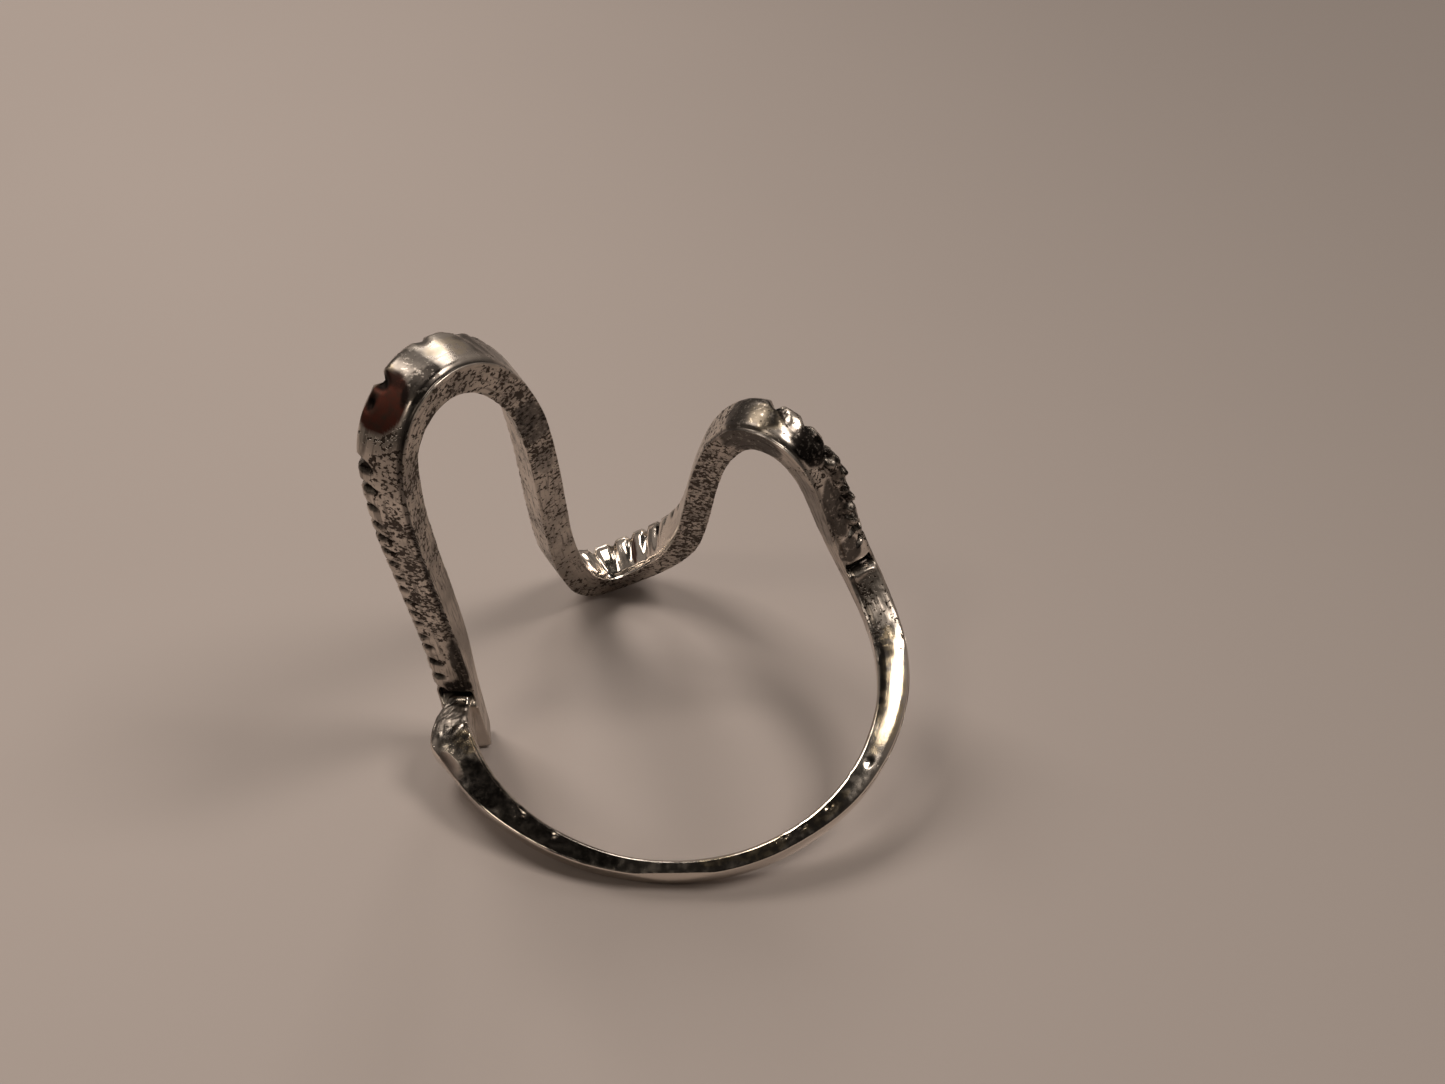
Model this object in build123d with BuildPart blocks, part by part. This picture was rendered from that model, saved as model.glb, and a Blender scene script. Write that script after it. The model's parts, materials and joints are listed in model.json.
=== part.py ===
from build123d import *
from collections import namedtuple
from math import cos, radians, sin
import os

os.makedirs("parts", exist_ok=True)

# One cast ring, in millimetres. It is drawn in its own frame, where the finger goes through along Z and the
# thin shank lies in the XY plane with its middle at -Y, and is then turned to lie as it rests on a table.

# Finger hole, a slight oval whose long way is turned from +X
hole_diameter = 18.0
hole_ovality = 0.047
hole_turn = -13.5

# Wave of the bar, measured from the shank's plane to the middle of the bar
tall_rise = 17.4
low_rise = 8.15
valley_drop = 8.1
foot_drop = 3.5

# Thickness of the bar along the finger and outward, and the same of the shank
bar_width = 1.35
bar_depth = 2.1
shank_width = 1.3
shank_depth = 0.85

# Rounding of the outer edges and crown of the outer face, on the bar and the shank
edge_radius = 0.3
crown_rise = 0.1

# Notches across the bar's outer face
notch_pitch = 1.02
notch_depth = 0.34
notch_mouth = 0.5
notch_lean = 0.1

# Grooves across the side face, where the bar ends at each joint
groove_depth = 0.42
groove_mouth = 0.7

# How far a cutting tool stands out of the metal
tool_clearance = 0.12

# Points taken along each edge, and turns of the search, to find how the ring rests
edge_steps = 200
rest_turns = 8

hole_radius = hole_diameter / 2

# Sections of the ring. Angle is round the finger, in degrees from +X. Level is the height of the section's
# middle. Inset is how far its inner face stands inside the finger hole's oval. Width is along the finger on
# the shank and across the bar, and depth is outward.
Section = namedtuple("Section", "angle level inset width depth")

# The bar, from its foot at the left joint, up the left leg, over the tall crest, down to the valley, up to
# the low crest and down to the right joint
bar_sections = [
    Section(189.0, -1.00 * foot_drop, 0.22 * bar_depth, 0.98 * bar_width, 0.86 * bar_depth),
    Section(184.5, -0.35 * foot_drop, 0.25 * bar_depth, 0.98 * bar_width, 0.86 * bar_depth),
    Section(179.0, 0.05 * tall_rise, 0.23 * bar_depth, 0.94 * bar_width, 0.86 * bar_depth),
    Section(174.8, 0.17 * tall_rise, 0.20 * bar_depth, 0.98 * bar_width, 0.88 * bar_depth),
    Section(172.0, 0.35 * tall_rise, 0.18 * bar_depth, 1.00 * bar_width, 0.90 * bar_depth),
    Section(169.6, 0.54 * tall_rise, 0.15 * bar_depth, 1.00 * bar_width, 0.92 * bar_depth),
    Section(166.9, 0.73 * tall_rise, 0.13 * bar_depth, 1.00 * bar_width, 0.96 * bar_depth),
    Section(163.4, 0.87 * tall_rise, 0.12 * bar_depth, 1.02 * bar_width, 1.00 * bar_depth),
    Section(158.4, 0.96 * tall_rise, 0.11 * bar_depth, 1.04 * bar_width, 1.06 * bar_depth),
    Section(151.0, 1.00 * tall_rise, 0.10 * bar_depth, 1.06 * bar_width, 1.12 * bar_depth),
    Section(142.0, 1.00 * tall_rise, 0.09 * bar_depth, 1.06 * bar_width, 1.18 * bar_depth),
    Section(134.2, 0.95 * tall_rise, 0.07 * bar_depth, 1.04 * bar_width, 1.18 * bar_depth),
    Section(128.3, 0.85 * tall_rise, 0.06 * bar_depth, 1.00 * bar_width, 1.12 * bar_depth),
    Section(124.8, 0.73 * tall_rise, 0.04 * bar_depth, 0.98 * bar_width, 1.05 * bar_depth),
    Section(123.4, 0.56 * tall_rise, 0.03 * bar_depth, 0.98 * bar_width, 1.00 * bar_depth),
    Section(123.9, 0.38 * tall_rise, 0.03 * bar_depth, 1.00 * bar_width, 0.96 * bar_depth),
    Section(125.2, 0.18 * tall_rise, 0.05 * bar_depth, 1.02 * bar_width, 0.90 * bar_depth),
    Section(126.3, 0.00 * tall_rise, 0.07 * bar_depth, 1.02 * bar_width, 0.88 * bar_depth),
    Section(126.5, -0.32 * valley_drop, 0.08 * bar_depth, 1.02 * bar_width, 0.90 * bar_depth),
    Section(125.4, -0.62 * valley_drop, 0.09 * bar_depth, 1.02 * bar_width, 0.94 * bar_depth),
    Section(122.0, -0.88 * valley_drop, 0.09 * bar_depth, 1.04 * bar_width, 0.96 * bar_depth),
    Section(116.5, -1.00 * valley_drop, 0.08 * bar_depth, 1.06 * bar_width, 0.98 * bar_depth),
    Section(108.0, -0.99 * valley_drop, 0.08 * bar_depth, 1.06 * bar_width, 1.00 * bar_depth),
    Section(98.5, -0.88 * valley_drop, 0.07 * bar_depth, 1.04 * bar_width, 1.02 * bar_depth),
    Section(90.2, -0.66 * valley_drop, 0.05 * bar_depth, 1.02 * bar_width, 1.02 * bar_depth),
    Section(84.8, -0.33 * valley_drop, 0.03 * bar_depth, 1.02 * bar_width, 1.02 * bar_depth),
    Section(81.6, 0.00 * low_rise, 0.01 * bar_depth, 1.00 * bar_width, 1.01 * bar_depth),
    Section(78.6, 0.31 * low_rise, -0.01 * bar_depth, 1.00 * bar_width, 1.00 * bar_depth),
    Section(74.9, 0.60 * low_rise, -0.03 * bar_depth, 1.00 * bar_width, 1.00 * bar_depth),
    Section(69.6, 0.85 * low_rise, -0.05 * bar_depth, 1.02 * bar_width, 0.99 * bar_depth),
    Section(62.8, 0.99 * low_rise, -0.06 * bar_depth, 1.04 * bar_width, 0.96 * bar_depth),
    Section(54.6, 0.99 * low_rise, -0.07 * bar_depth, 1.04 * bar_width, 0.93 * bar_depth),
    Section(47.4, 0.87 * low_rise, -0.08 * bar_depth, 1.00 * bar_width, 0.90 * bar_depth),
    Section(42.0, 0.65 * low_rise, -0.08 * bar_depth, 0.98 * bar_width, 0.86 * bar_depth),
    Section(37.2, 0.39 * low_rise, -0.07 * bar_depth, 0.96 * bar_width, 0.82 * bar_depth),
    Section(31.0, 0.16 * low_rise, -0.06 * bar_depth, 0.94 * bar_width, 0.79 * bar_depth),
    Section(22.0, 0.02 * low_rise, -0.04 * bar_depth, 0.92 * bar_width, 0.76 * bar_depth),
]

# The shank, from the bar's last section round the front to its flared end, whose neck enters the bar
shank_sections = [
    bar_sections[-1],
    Section(8.0, 0.00 * shank_width, 0.00 * shank_depth, 0.98 * shank_width, 1.86 * shank_depth),
    Section(-8.0, 0.00 * shank_width, 0.00 * shank_depth, 0.98 * shank_width, 1.65 * shank_depth),
    Section(-25.0, 0.00 * shank_width, 0.00 * shank_depth, 0.96 * shank_width, 1.35 * shank_depth),
    Section(-45.0, 0.00 * shank_width, 0.00 * shank_depth, 0.95 * shank_width, 1.05 * shank_depth),
    Section(-68.0, 0.00 * shank_width, 0.00 * shank_depth, 1.00 * shank_width, 0.97 * shank_depth),
    Section(-90.0, 0.00 * shank_width, 0.00 * shank_depth, 1.00 * shank_width, 0.97 * shank_depth),
    Section(-112.0, 0.00 * shank_width, 0.00 * shank_depth, 1.05 * shank_width, 1.12 * shank_depth),
    Section(-132.0, 0.00 * shank_width, 0.00 * shank_depth, 1.12 * shank_width, 1.40 * shank_depth),
    Section(-149.0, -0.10 * shank_width, 0.00 * shank_depth, 1.25 * shank_width, 1.80 * shank_depth),
    Section(-161.0, -0.25 * shank_width, 0.00 * shank_depth, 1.45 * shank_width, 2.25 * shank_depth),
    Section(-167.0, -0.40 * shank_width, 0.00 * shank_depth, 1.60 * shank_width, 2.45 * shank_depth),
    Section(-171.0, -0.45 * shank_width, 0.15 * shank_depth, 1.35 * shank_width, 2.00 * shank_depth),
    Section(-177.0, -0.45 * shank_width, 0.35 * shank_depth, 0.80 * shank_width, 1.45 * shank_depth),
]

# Runs of notches, as shares of the bar's path. The gaps between them are the polished backs of the crests.
NotchRun = namedtuple("NotchRun", "start end")
notch_runs = [
    NotchRun(0.062, 0.250),
    NotchRun(0.279, 0.297),
    NotchRun(0.312, 0.800),
    NotchRun(0.872, 0.962),
]

# Grooves on the side face that looks away from the bar's low end, as shares of the bar's path
left_groove_share = 0.045
right_groove_share = 0.980


def oval_radius(angle):
    """Radius of the finger hole's oval at an angle round the finger."""
    return hole_radius * (1 + hole_ovality * cos(radians(2 * (angle - hole_turn))))


def outward(angle):
    """Direction out from the finger's axis."""
    return Vector(cos(radians(angle)), sin(radians(angle)), 0)


def seat_point(row):
    """Middle of a section's inner face."""
    return outward(row.angle) * (oval_radius(row.angle) - row.inset) + Vector(0, 0, row.level)


def cross_plane(path, share):
    """Plane across a path on the inner face, with its X to the side and its Y outward."""
    seat = path.position_at(share)
    along = path.tangent_at(share)
    return Plane(origin=seat, x_dir=Vector(seat.X, seat.Y, 0).cross(along), z_dir=along)


def profile(path, row):
    """A section with a flat inner face, flat sides, rounded outer edges and a crowned outer face."""
    half = row.width / 2
    shoulder = row.depth - crown_rise
    turn = edge_radius * (1 - sin(radians(45)))
    with BuildSketch(cross_plane(path, path.param_at_point(seat_point(row)))) as face:
        with BuildLine():
            Line((-half, 0), (half, 0))
            Line((half, 0), (half, shoulder - edge_radius))
            ThreePointArc(
                (half, shoulder - edge_radius), (half - turn, shoulder - turn), (half - edge_radius, shoulder)
            )
            ThreePointArc((half - edge_radius, shoulder), (0, row.depth), (edge_radius - half, shoulder))
            ThreePointArc(
                (edge_radius - half, shoulder), (turn - half, shoulder - turn), (-half, shoulder - edge_radius)
            )
            Line((-half, shoulder - edge_radius), (-half, 0))
        make_face()
    return face.sketch


# Paths of the bar's and the shank's inner faces
with BuildLine() as bar_line:
    Spline(*[seat_point(row) for row in bar_sections])
bar_path = bar_line.edges()[0]

with BuildLine() as shank_line:
    Spline(
        *[seat_point(row) for row in shank_sections],
        tangents=(bar_path.tangent_at(1), outward(shank_sections[-1].angle).rotate(Axis.Z, -90)),
    )
shank_path = shank_line.edges()[0]

# Bar
with BuildPart() as bar:
    loft(sections=[profile(bar_path, row) for row in bar_sections])

# Shank
with BuildPart() as shank:
    loft(sections=[profile(shank_path, row) for row in shank_sections])

# Places of the notches on the crown of the bar's outer face
bar_shares = [bar_path.param_at_point(seat_point(row)) for row in bar_sections]


def bar_size_at(share, field):
    """Width or depth of the bar at a share of its path, between the sections on each side."""
    after = next(index for index, value in enumerate(bar_shares) if value >= share)
    step = (share - bar_shares[after - 1]) / (bar_shares[after] - bar_shares[after - 1])
    before_size = getattr(bar_sections[after - 1], field)
    return before_size + step * (getattr(bar_sections[after], field) - before_size)


notch_places = []
for run in notch_runs:
    count = max(1, round((run.end - run.start) * bar_path.length / notch_pitch))
    for number in range(count + 1):
        share = run.start + (run.end - run.start) * number / count
        plane = cross_plane(bar_path, share)
        crown = plane.origin + plane.y_dir * bar_size_at(share, "depth")
        notch_places.append(Location(Plane(origin=crown, x_dir=plane.x_dir, z_dir=plane.z_dir)))

# Tool of one notch, a leaning V that runs from side to side
notch_rise = tool_clearance / notch_depth
with BuildPart() as notch_tool:
    with BuildSketch(Plane.YZ):
        with BuildLine():
            Polyline(
                (tool_clearance, -notch_mouth / 2 * (1 + notch_rise)),
                (-notch_depth, notch_lean),
                (tool_clearance, notch_mouth / 2 * (1 + notch_rise)),
                close=True,
            )
        make_face()
    extrude(amount=bar_width, both=True)

# Tool of one side groove, a V that runs outward across the side face
groove_rise = tool_clearance / groove_depth
with BuildPart() as groove_tool:
    with BuildSketch(Plane.XZ):
        with BuildLine():
            Polyline(
                (-tool_clearance, -groove_mouth / 2 * (1 + groove_rise)),
                (groove_depth, 0),
                (-tool_clearance, groove_mouth / 2 * (1 + groove_rise)),
                close=True,
            )
        make_face()
    extrude(amount=2 * bar_depth, both=True)

groove_places = []
for share in (left_groove_share, right_groove_share):
    plane = cross_plane(bar_path, share)
    side_face = plane.origin - plane.x_dir * bar_size_at(share, "width") / 2
    groove_places.append(Location(Plane(origin=side_face, x_dir=plane.x_dir, z_dir=plane.z_dir)))

# Bar and shank in one casting
with BuildPart() as cast:
    add(bar.part)
    add(shank.part)

# Resting plane, which touches the lowest points of the shank's front, the bar's foot and the valley
edge_points = [edge @ (step / edge_steps) for edge in cast.edges() for step in range(edge_steps + 1)]
touch_zones = [
    [point for point in edge_points if point.Y < -hole_radius / 2],
    [point for point in edge_points if point.X < -hole_radius / 2 and point.Z < -shank_width],
    [point for point in edge_points if point.Y > hole_radius / 2],
]
floor_up = Vector(0, valley_drop, 2 * hole_radius)
for turn in range(rest_turns):
    front, foot, valley = [min(zone, key=floor_up.dot) for zone in touch_zones]
    floor_up = (valley - front).cross(foot - front).normalized()

# Notches and side grooves cut into the casting
with BuildPart() as notched:
    add(cast.part)
    with Locations(*groove_places):
        add(groove_tool.part, mode=Mode.SUBTRACT)
    with Locations(*notch_places):
        add(notch_tool.part, mode=Mode.SUBTRACT)

# The ring as it rests, with its origin below the middle of its box
rest_plane = Plane(origin=(0, 0, 0), x_dir=Vector(1, 0, 0) - floor_up * floor_up.X, z_dir=floor_up)
lying = rest_plane.to_local_coords(notched.part)
lying_box = lying.bounding_box()
lying_foot = Vector(lying_box.center().X, lying_box.center().Y, lying_box.min.Z)
with BuildPart() as wave_ring:
    with Locations(-lying_foot):
        add(lying)

wave_ring.part.label = "wave_ring"
export_step(wave_ring.part, "parts/wave_ring.step")
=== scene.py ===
import json
import random
from collections import namedtuple
from functools import partialmethod
from math import cos, pi, radians, sin

import bmesh
import bpy
import numpy as np
from mathutils import Matrix, Vector, noise


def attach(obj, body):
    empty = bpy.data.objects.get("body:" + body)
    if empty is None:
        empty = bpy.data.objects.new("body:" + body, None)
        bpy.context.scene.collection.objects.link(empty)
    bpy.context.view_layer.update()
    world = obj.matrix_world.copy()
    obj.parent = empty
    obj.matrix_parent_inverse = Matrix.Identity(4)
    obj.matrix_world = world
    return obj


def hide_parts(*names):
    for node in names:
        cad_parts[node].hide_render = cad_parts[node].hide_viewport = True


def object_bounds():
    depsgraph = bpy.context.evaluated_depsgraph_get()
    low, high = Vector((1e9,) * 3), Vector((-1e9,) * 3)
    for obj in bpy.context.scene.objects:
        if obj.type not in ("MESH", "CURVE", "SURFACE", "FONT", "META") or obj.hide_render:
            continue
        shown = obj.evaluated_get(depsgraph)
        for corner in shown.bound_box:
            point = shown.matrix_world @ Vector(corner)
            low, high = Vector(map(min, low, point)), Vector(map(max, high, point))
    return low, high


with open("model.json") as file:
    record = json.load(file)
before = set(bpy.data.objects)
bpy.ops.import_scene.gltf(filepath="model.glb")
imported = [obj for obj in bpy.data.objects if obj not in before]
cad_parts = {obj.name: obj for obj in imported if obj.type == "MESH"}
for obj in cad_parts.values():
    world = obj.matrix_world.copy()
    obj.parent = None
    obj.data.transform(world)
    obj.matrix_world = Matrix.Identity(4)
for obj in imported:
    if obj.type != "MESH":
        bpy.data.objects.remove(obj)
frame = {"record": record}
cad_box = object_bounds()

bl_info = {
    "name": "Waved Finger Ring",
    "version": (1, 0, 0),
    "blender": (4, 5, 0),
    "location": "View3D > Sidebar > Ring",
    "description": "Builds a worn cast finger ring whose bar waves over a tall and a low crest",
    "category": "Add Mesh",
}

MM = 0.001

# The ring's own frame stands on the finger hole: X to the low crest, Y to the back and Z along the finger
hole_mount = frame["record"]["mounts"][0]
hole_middle = Vector(hole_mount["pos_m"])
finger_axis = Vector(hole_mount["axis"]).normalized()
ring_right = Vector((finger_axis.z, 0.0, -finger_axis.x)).normalized()
ring_back = finger_axis.cross(ring_right)

# Sections of the ring. Angle is round the finger, in degrees from the ring's X. Level is the height of the
# section's middle, inset is how far its inner face stands inside the hole's oval, width is across the bar and
# depth is outward.
Section = namedtuple("Section", "angle level inset width depth")

# Rows of a part's sections, under the size that their levels are shares of. Their widths are shares of the
# part's width, and their insets and depths of its depth. The bar goes from its foot over the tall crest,
# through the valley and over the low crest.
BAR_ROWS = {
    "foot_drop": ((189.0, -1.0, 0.22, 0.98, 0.86), (184.5, -0.35, 0.25, 0.98, 0.86)),
    "tall_rise": (
        (179.0, 0.05, 0.23, 0.94, 0.86), (174.8, 0.17, 0.2, 0.98, 0.88), (172.0, 0.35, 0.18, 1.0, 0.9),
        (169.6, 0.54, 0.15, 1.0, 0.92), (166.9, 0.73, 0.13, 1.0, 0.96), (163.4, 0.87, 0.12, 1.02, 1.0),
        (158.4, 0.96, 0.11, 1.04, 1.06), (151.0, 1.0, 0.1, 1.06, 1.12), (142.0, 1.0, 0.09, 1.06, 1.18),
        (134.2, 0.95, 0.07, 1.04, 1.18), (128.3, 0.85, 0.06, 1.0, 1.12), (124.8, 0.73, 0.04, 0.98, 1.05),
        (123.4, 0.56, 0.03, 0.98, 1.0), (123.9, 0.38, 0.03, 1.0, 0.96), (125.2, 0.18, 0.05, 1.02, 0.9),
        (126.3, 0.0, 0.07, 1.02, 0.88),
    ),
    "valley_drop": (
        (126.5, -0.32, 0.08, 1.02, 0.9), (125.4, -0.62, 0.09, 1.02, 0.94), (122.0, -0.88, 0.09, 1.04, 0.96),
        (116.5, -1.0, 0.08, 1.06, 0.98), (108.0, -0.99, 0.08, 1.06, 1.0), (98.5, -0.88, 0.07, 1.04, 1.02),
        (90.2, -0.66, 0.05, 1.02, 1.02), (84.8, -0.33, 0.03, 1.02, 1.02),
    ),
    "low_rise": (
        (81.6, 0.0, 0.01, 1.0, 1.01), (78.6, 0.31, -0.01, 1.0, 1.0), (74.9, 0.6, -0.03, 1.0, 1.0),
        (69.6, 0.85, -0.05, 1.02, 0.99), (62.8, 0.99, -0.06, 1.04, 0.96), (54.6, 0.99, -0.07, 1.04, 0.93),
        (47.4, 0.87, -0.08, 1.0, 0.9), (42.0, 0.65, -0.08, 0.98, 0.86), (37.2, 0.39, -0.07, 0.96, 0.82),
        (31.0, 0.16, -0.06, 0.94, 0.79), (22.0, 0.02, -0.04, 0.92, 0.76),
    ),
}

# The shank, from the right joint round the front to its flared end, whose neck enters the bar
SHANK_ROWS = {
    "shank_width": (
        (8.0, 0.0, 0.0, 0.98, 1.86), (-8.0, 0.0, 0.0, 0.98, 1.65), (-25.0, 0.0, 0.0, 0.96, 1.35),
        (-45.0, 0.0, 0.0, 0.95, 1.05), (-68.0, 0.0, 0.0, 1.0, 0.97), (-90.0, 0.0, 0.0, 1.0, 0.97),
        (-112.0, 0.0, 0.0, 1.05, 1.12), (-132.0, 0.0, 0.0, 1.12, 1.4), (-149.0, -0.1, 0.0, 1.25, 1.8),
        (-161.0, -0.25, 0.0, 1.45, 2.25), (-167.0, -0.4, 0.0, 1.6, 2.45), (-171.0, -0.45, 0.15, 1.35, 2.0),
        (-177.0, -0.45, 0.35, 0.8, 1.45),
    ),
}


def sections(height_rows, size, width, depth):
    """A part's sections."""
    return [
        Section(angle, level * getattr(size, name), inset * depth, across * width, outward * depth)
        for name, rows in height_rows.items()
        for angle, level, inset, across, outward in rows
    ]


# Runs of notches in the outer edge, as shares of the bar's path. A gouge runs from each notch onto the face
# that looks to the front, by the slant, and a flute goes on across that face to the inner edge.
NotchRun = namedtuple("NotchRun", "start end depth_share gouge_share flute_share slant")
NOTCH_RUNS = [
    NotchRun(0.052, 0.25, 1.05, 0.9, 0.0, -0.4),
    NotchRun(0.28, 0.28, 1.1, 1.2, 0.0, -0.2),
    NotchRun(0.3, 0.3, 0.7, 0.3, 0.0, -0.2),
    NotchRun(0.312, 0.56, 0.7, 0.5, 0.15, 0.3),
    NotchRun(0.572, 0.672, 1.0, 0.6, 1.0, 0.05),
    NotchRun(0.685, 0.8, 0.6, 0.5, 0.15, -0.2),
    NotchRun(0.872, 0.962, 1.1, 1.1, 0.2, 0.45),
]

# A place on the ring is its course: 0 to 1 along the bar from its foot, then 1 to 2 along the shank. Tall is
# how far up the face it is, from 0 at the finger to 1 at the outer edge. Reaches are in millimetres. The
# rows are Patches.
Patch = namedtuple("Patch", "course tall along across strength")
FRONT_PATCHES = {
    "copper": (
        (0.2725, 0.64, 0.98, 1.15, 1.0), (0.65, 0.5, 0.24, 0.75, 0.95), (1.895, 0.84, 0.8, 0.34, 0.7),
    ),
    "straw": (
        (0.28, 0.86, 0.42, 0.45, 0.7), (0.303, 0.5, 0.8, 0.6, 0.45), (0.87, 0.5, 0.6, 0.7, 0.6),
        (1.915, 0.25, 0.6, 0.5, 0.9), (1.506, 0.35, 1.0, 0.2, 0.8), (1.435, 0.45, 1.3, 0.35, 0.85),
        (1.34, 0.5, 1.4, 0.3, 0.8), (1.15, 0.5, 3.2, 0.6, 0.9),
    ),
    # Black patches are dark tarnish, save those at 0.286, between the tall crest's two highlights, and at
    # 1.74 and 1.85 on the shank's front band, which are painted dark reflection
    "tarnish_and_dark_reflection": (
        (0.286, 0.56, 0.66, 1.4, 0.8), (0.326, 0.55, 1.3, 1.0, 0.5), (0.862, 0.5, 1.1, 1.3, 0.88),
        (0.89, 0.5, 0.85, 0.8, 1.0), (0.965, 0.35, 0.8, 0.65, 0.9), (0.075, 0.15, 1.9, 0.4, 0.9),
        (0.053, 0.35, 0.45, 0.7, 0.95), (0.2835, 0.22, 0.95, 0.55, 0.97), (0.93, 0.35, 1.9, 0.62, 0.88),
        (1.03, 0.5, 2.6, 1.2, 0.35), (1.958, 0.5, 1.2, 1.3, 0.72), (1.85, 0.5, 1.5, 0.85, 0.85),
        (1.74, 0.42, 3.6, 0.62, 0.7),
    ),
}
INNER_PATCHES = {
    "tarnish_and_dark_reflection": (
        (0.385, 0.5, 2.0, 0.75, 0.8), (0.43, 0.5, 1.2, 0.5, 0.45), (0.865, 0.5, 1.8, 0.9, 0.85),
        (0.93, 0.5, 2.6, 0.9, 0.42),
    ),
}

# Small dents in the face that looks up, and burrs where the depth is negative. Sizes are in millimetres. The
# rows are Dents.
Dent = namedtuple("Dent", "course tall reach depth")
DENTS = (
    (0.2705, 0.84, 0.3, 0.26), (0.304, 0.94, 0.2, 0.14), (0.3105, 0.9, 0.16, 0.1), (0.318, 0.92, 0.24, 0.16),
    (0.8905, 0.72, 0.22, 0.12), (1.7834, 0.25, 0.2, 0.05), (1.7327, 0.3, 0.22, 0.06),
    (1.405, 0.3, 0.18, 0.06), (1.377, 0.35, 0.2, 0.06), (1.332, 0.4, 0.22, 0.07), (1.25, 0.5, 0.24, 0.07),
    (1.789, 0.05, 0.16, -0.07), (1.106, 0.05, 0.18, -0.07), (1.276, 0.05, 0.16, -0.08),
)

# A dent deeper than this, in millimetres, holds oxide
OXIDE_DEPTH = 0.1

# Steps between sections along the course, in millimetres
STATION_STEPS = ((0.0, 0.09), (1.0, 0.09), (1.12, 0.15), (1.88, 0.15), (1.92, 0.075), (2.0, 0.075))

# How far the section is drawn to a half-round along the course, and how far its outer face swells, in
# millimetres. The power is 2 for a true half-round, and more for a squarer one.
ROUNDNESS = ((1.0, 0.0), (1.1, 0.68), (1.22, 0.68), (1.38, 0.0), (1.86, 0.0), (1.9, 0.7), (2.0, 0.7))
SWELL = (
    (0.56, 0.0), (0.59, 0.28), (0.66, 0.26), (0.7, 0.05), (0.74, 0.0), (1.1, 0.0), (1.25, 0.06), (1.36, 0.14),
    (1.72, 0.14), (1.84, 0.04), (1.92, 0.0),
)
ROUND_POWER = 3.8

# How far the shank's front face leans out along the course, for each step above the height it starts at
LEAN = ((1.0, 0.0), (1.06, 0.05), (1.14, 0.16), (1.2, 0.16), (1.4, 0.0), (2.0, 0.0))
LEAN_START = 0.1 * MM

# How pitted each face is along the course
FRONT_PITTING = (
    (0.0, 0.1), (0.03, 0.1), (0.032, 0.05), (0.044, 0.05), (0.05, 0.35), (0.09, 0.55), (0.12, 0.9),
    (0.21, 0.86), (0.235, 0.62), (0.266, 0.66), (0.272, 0.3), (0.278, 0.24), (0.31, 0.2), (0.325, 0.42),
    (0.36, 0.5), (0.4, 0.25), (0.56, 0.2), (0.58, 0.02), (0.66, 0.05), (0.69, 0.2), (0.8, 0.35), (0.83, 0.75),
    (0.86, 0.6), (0.876, 0.5), (0.893, 0.35), (0.9, 0.7), (0.95, 0.7), (0.957, 0.3), (0.975, 0.3), (1.0, 0.8),
    (1.07, 0.8), (1.1, 0.1), (1.12, 0.0), (1.89, 0.0), (1.905, 0.4), (1.945, 0.4), (1.972, 0.35),
    (1.978, 0.05), (2.0, 0.05),
)
INNER_PITTING = (
    (0.0, 0.1), (0.12, 0.15), (0.16, 0.5), (0.22, 0.75), (0.27, 0.72), (0.31, 0.68), (0.35, 0.8), (0.38, 1.0),
    (0.42, 0.95), (0.47, 0.6), (0.55, 0.45), (0.6, 0.6), (0.68, 0.8), (0.8, 0.9), (0.86, 0.7), (0.9, 0.35),
    (1.0, 0.35), (1.1, 0.4), (1.3, 0.05), (2.0, 0.05),
)
OTHER_PITTING = (
    (0.0, 0.2), (0.08, 0.55), (0.98, 0.55), (1.04, 0.25), (1.1, 0.02), (1.12, 0.0), (2.0, 0.0),
)

# How rubbed and rounded the front face is along the course
FRONT_POLISH = (
    (0.0, 0.45), (0.03, 0.45), (0.032, 0.5), (0.042, 0.5), (0.05, 0.2), (0.266, 0.15), (0.274, 0.5),
    (0.312, 0.52), (0.335, 0.36), (0.36, 0.25), (0.56, 0.25), (0.58, 0.95), (0.668, 0.95), (0.69, 0.45),
    (0.8, 0.35), (0.86, 0.4), (0.874, 0.45), (0.895, 0.6), (0.905, 0.3), (0.95, 0.3), (0.96, 0.8),
    (0.978, 0.8), (0.99, 0.18), (1.07, 0.18), (1.105, 0.42), (1.24, 0.46), (1.31, 1.0), (1.89, 1.0),
    (1.905, 0.5), (1.93, 0.25), (1.972, 0.25), (1.978, 0.95), (2.0, 0.95),
)

# How dark the seam between the front face and the inner face is along the course
SEAM = (
    (0.0, 0.0), (0.08, 0.3), (0.12, 0.75), (0.24, 0.7), (0.262, 0.95), (0.31, 0.9), (0.34, 0.35),
    (0.56, 0.25), (0.68, 0.5), (0.7, 0.85), (0.84, 0.8), (0.88, 0.6), (0.97, 0.6), (0.99, 0.8), (1.1, 0.4),
    (1.2, 0.0), (2.0, 0.0),
)


# Noise of the unevenness: the size of its grain in millimetres, and its seed
Grain = namedtuple("Grain", "size seed")
WOBBLE = Grain(2.4, 1)
CRUMPLE = Grain(0.42, 2)
CAST_GRAIN = Grain(0.2, 3)
RIPPLE = Grain(0.95, 4)
STAIN_SHORE = Grain(0.45, 5)
FOLD_WANDER = Grain(0.55, 6)
NECK_CRUMPLE = Grain(0.26, 8)
SEED_STEP = (17.3, 5.1, 9.7)

# Cast unevenness: how high each noise lifts the skin, the last two only where it is pitted
WOBBLE_HEIGHT = 0.03 * MM
RIPPLE_HEIGHT = 0.01 * MM
CRUMPLE_HEIGHT = 0.026 * MM
CAST_GRAIN_HEIGHT = 0.012 * MM

# Faces, by how far a normal looks their way: the least that counts, and the blend up to all of it
LOOKS_FORWARD = (0.2, 0.6)
LOOKS_INWARD = (0.4, 0.5)

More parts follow.
